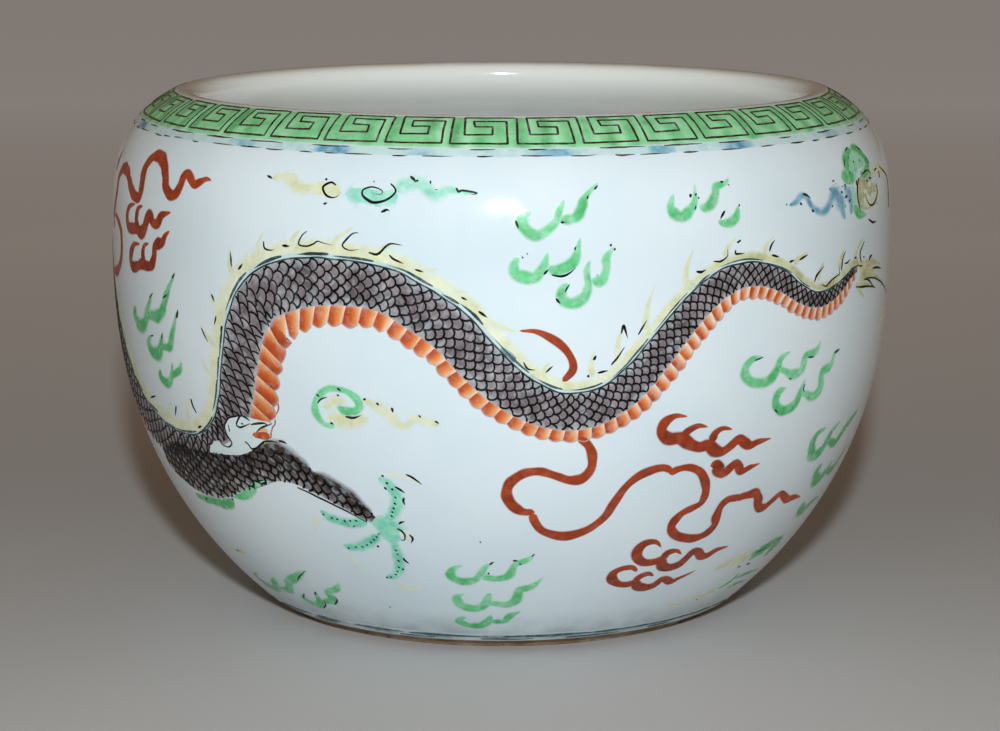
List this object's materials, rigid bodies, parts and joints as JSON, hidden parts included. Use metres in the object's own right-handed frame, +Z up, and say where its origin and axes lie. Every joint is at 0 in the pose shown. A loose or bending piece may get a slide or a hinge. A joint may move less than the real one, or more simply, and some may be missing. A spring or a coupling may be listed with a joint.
{
  "type": "brush washer",
  "caption": "Incurved porcelain brush washer on a low foot ring, enamelled with a scaled dragon, flames and clouds under a green key-fret border.",
  "frame": {"origin": "centre of the foot ring's underside, on the surface it stands on", "axes": "+Z up along the axis the bowl was thrown on, -Y towards the front of the painting, +X to its right"},
  "size_m": [0.1272, 0.1272, 0.084],
  "materials": {
    "biscuit": "matt, unglazed",
    "clear_glaze": "glossy, faintly blue white",
    "green_enamel": "glossy",
    "dark_line": "satin",
    "blue_enamel": "glossy",
    "scale_enamel": "glossy",
    "orange_enamel": "satin",
    "yellow_enamel": "glossy",
    "turquoise_enamel": "glossy",
    "iron_red": "satin"
  },
  "bodies": {
    "root": {"porcelain_body": "biscuit", "outer_glaze": "clear_glaze", "inner_glaze": "clear_glaze", "base_glaze": "clear_glaze", "border_band": "green_enamel", "border_fret": "dark_line", "shoulder_line": "blue_enamel", "foot_line": "blue_enamel", "dragon_body": "scale_enamel", "dragon_belly": "orange_enamel", "dragon_fin": "yellow_enamel", "dragon_legs": "scale_enamel", "dragon_feet": "turquoise_enamel", "dragon_nails": "yellow_enamel", "dragon_head": "scale_enamel", "dragon_horns": "yellow_enamel", "flame_ribbons": "iron_red", "flame_clouds": "iron_red", "green_clouds": "green_enamel", "yellow_wisps": "yellow_enamel"}
  },
  "joints": []
}
